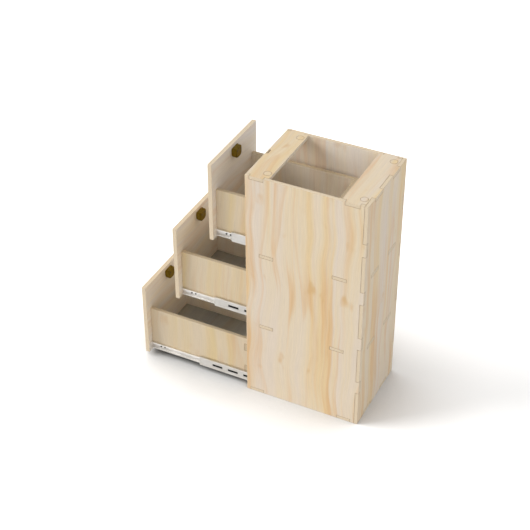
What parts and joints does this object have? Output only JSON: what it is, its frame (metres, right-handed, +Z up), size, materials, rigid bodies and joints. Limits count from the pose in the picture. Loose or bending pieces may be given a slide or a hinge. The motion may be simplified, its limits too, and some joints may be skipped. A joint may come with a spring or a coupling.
{
  "type": "campervan kitchen pod",
  "caption": "Tall narrow plywood cabinet with slot-together panels, an open top between rails, and drawers on full-extension slides with push-button locks.",
  "frame": {"origin": "on the floor, under the middle of the carcass's footprint", "axes": "+Z up; the drawers open towards -Y; +X is to the right when facing the drawers"},
  "size_m": [0.318, 0.854, 0.9],
  "materials": {
    "poplar_plywood": "clear matt lacquer",
    "plug_wood": "clear matt lacquer",
    "zinc_steel": "bright zinc plating",
    "lock_case": "moulded, satin",
    "lock_metal": "satin nickel plating"
  },
  "bodies": {
    "carcass": {"side_panel_left": "poplar_plywood", "side_panel_right": "poplar_plywood", "back_panel": "poplar_plywood", "base_panel": "poplar_plywood", "lower_shelf": "poplar_plywood", "upper_shelf": "poplar_plywood", "front_rail": "poplar_plywood", "rear_rail": "poplar_plywood", "front_rail_plug_left": "plug_wood", "front_rail_plug_right": "plug_wood", "rear_rail_plug_left": "plug_wood", "rear_rail_plug_right": "plug_wood", "bottom_left_cabinet_member": "zinc_steel", "bottom_right_cabinet_member": "zinc_steel", "middle_left_cabinet_member": "zinc_steel", "middle_right_cabinet_member": "zinc_steel", "top_left_cabinet_member": "zinc_steel", "top_right_cabinet_member": "zinc_steel"},
    "bottom_drawer": {"bottom_drawer_front": "poplar_plywood", "bottom_drawer_side_left": "poplar_plywood", "bottom_drawer_side_right": "poplar_plywood", "bottom_drawer_back": "poplar_plywood", "bottom_drawer_bottom": "poplar_plywood", "bottom_lock_body": "lock_case", "bottom_lock_collar": "lock_metal", "bottom_left_drawer_member": "zinc_steel", "bottom_right_drawer_member": "zinc_steel"},
    "bottom_intermediate_slides": {"bottom_left_intermediate_member": "zinc_steel", "bottom_right_intermediate_member": "zinc_steel"},
    "bottom_lock_knob": {"bottom_lock_knob": "lock_metal"},
    "bottom_lock_bolt": {"bottom_lock_bolt": "lock_case"},
    "middle_drawer": {"middle_drawer_front": "poplar_plywood", "middle_drawer_side_left": "poplar_plywood", "middle_drawer_side_right": "poplar_plywood", "middle_drawer_back": "poplar_plywood", "middle_drawer_bottom": "poplar_plywood", "middle_lock_body": "lock_case", "middle_lock_collar": "lock_metal", "middle_left_drawer_member": "zinc_steel", "middle_right_drawer_member": "zinc_steel"},
    "middle_intermediate_slides": {"middle_left_intermediate_member": "zinc_steel", "middle_right_intermediate_member": "zinc_steel"},
    "middle_lock_knob": {"middle_lock_knob": "lock_metal"},
    "middle_lock_bolt": {"middle_lock_bolt": "lock_case"},
    "top_drawer": {"top_drawer_front": "poplar_plywood", "top_drawer_side_left": "poplar_plywood", "top_drawer_side_right": "poplar_plywood", "top_drawer_back": "poplar_plywood", "top_drawer_bottom": "poplar_plywood", "top_lock_body": "lock_case", "top_lock_collar": "lock_metal", "top_left_drawer_member": "zinc_steel", "top_right_drawer_member": "zinc_steel"},
    "top_intermediate_slides": {"top_left_intermediate_member": "zinc_steel", "top_right_intermediate_member": "zinc_steel"},
    "top_lock_knob": {"top_lock_knob": "lock_metal"},
    "top_lock_bolt": {"top_lock_bolt": "lock_case"}
  },
  "joints": [
    {"name": "bottom_drawer_slide", "type": "slide", "parent": "carcass", "child": "bottom_drawer", "axis": [0, -1, 0], "range_m": [-0.401, 0]},
    {"name": "bottom_intermediate_slide", "type": "slide", "parent": "carcass", "child": "bottom_intermediate_slides", "axis": [0, -1, 0], "range_m": [-0.2005, 0]},
    {"name": "bottom_lock_push", "type": "slide", "parent": "bottom_drawer", "child": "bottom_lock_knob", "axis": [0, 1, 0], "range_m": [0, 0.011]},
    {"name": "bottom_lock_bolt_lift", "type": "slide", "parent": "bottom_drawer", "child": "bottom_lock_bolt", "axis": [0, 0, 1], "range_m": [0, 0.007]},
    {"name": "middle_drawer_slide", "type": "slide", "parent": "carcass", "child": "middle_drawer", "axis": [0, -1, 0], "range_m": [-0.26151, 0.13949]},
    {"name": "middle_intermediate_slide", "type": "slide", "parent": "carcass", "child": "middle_intermediate_slides", "axis": [0, -1, 0], "range_m": [-0.13075, 0.06975]},
    {"name": "middle_lock_push", "type": "slide", "parent": "middle_drawer", "child": "middle_lock_knob", "axis": [0, 1, 0], "range_m": [0, 0.011]},
    {"name": "middle_lock_bolt_lift", "type": "slide", "parent": "middle_drawer", "child": "middle_lock_bolt", "axis": [0, 0, 1], "range_m": [0, 0.007]},
    {"name": "top_drawer_slide", "type": "slide", "parent": "carcass", "child": "top_drawer", "axis": [0, -1, 0], "range_m": [-0.11839, 0.28261]},
    {"name": "top_intermediate_slide", "type": "slide", "parent": "carcass", "child": "top_intermediate_slides", "axis": [0, -1, 0], "range_m": [-0.0592, 0.1413]},
    {"name": "top_lock_push", "type": "slide", "parent": "top_drawer", "child": "top_lock_knob", "axis": [0, 1, 0], "range_m": [0, 0.011]},
    {"name": "top_lock_bolt_lift", "type": "slide", "parent": "top_drawer", "child": "top_lock_bolt", "axis": [0, 0, 1], "range_m": [0, 0.007]}
  ],
  "couplings": [
    {"joint": "bottom_intermediate_slide", "follows": "bottom_drawer_slide", "ratio": 0.5},
    {"joint": "bottom_lock_bolt_lift", "follows": "bottom_lock_push", "ratio": 0.6363},
    {"joint": "middle_intermediate_slide", "follows": "middle_drawer_slide", "ratio": 0.5},
    {"joint": "middle_lock_bolt_lift", "follows": "middle_lock_push", "ratio": 0.6363},
    {"joint": "top_intermediate_slide", "follows": "top_drawer_slide", "ratio": 0.5},
    {"joint": "top_lock_bolt_lift", "follows": "top_lock_push", "ratio": 0.6363}
  ]
}
